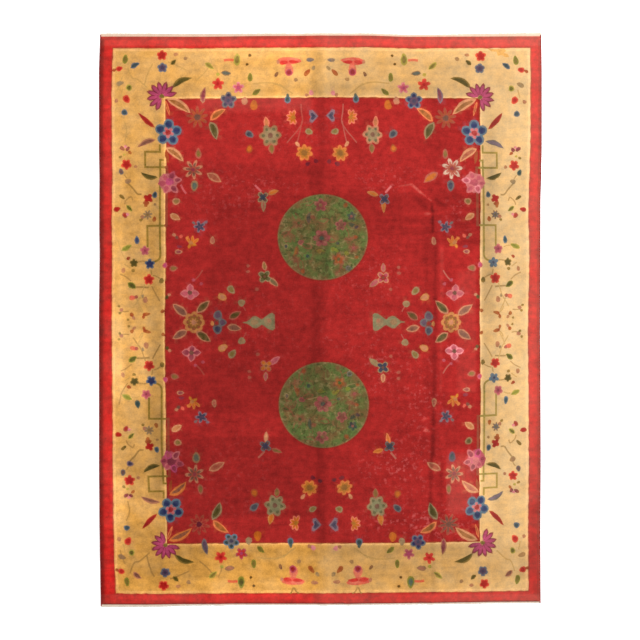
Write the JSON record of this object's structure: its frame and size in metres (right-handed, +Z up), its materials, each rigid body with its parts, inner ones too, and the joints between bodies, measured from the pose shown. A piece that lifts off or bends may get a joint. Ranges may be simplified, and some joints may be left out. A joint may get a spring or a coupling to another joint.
{
  "type": "chinese art deco rug",
  "caption": "Flat hand-knotted wool pile rug with a gold flower border, red field and guard, green roundels, overcast sides and woven cotton ends; it lies on a floor.",
  "frame": {"origin": "on the floor under the middle of the rug", "axes": "+Z up out of the pile, +Y along the length, +X across the width"},
  "size_m": [2.743, 3.5418, 0.0151],
  "materials": {
    "wool_pile": "matt cut wool pile, dyed red, gold and green, with a little wear and old fold lines"
  },
  "bodies": {
    "root": {"rug": "wool_pile"}
  },
  "joints": []
}
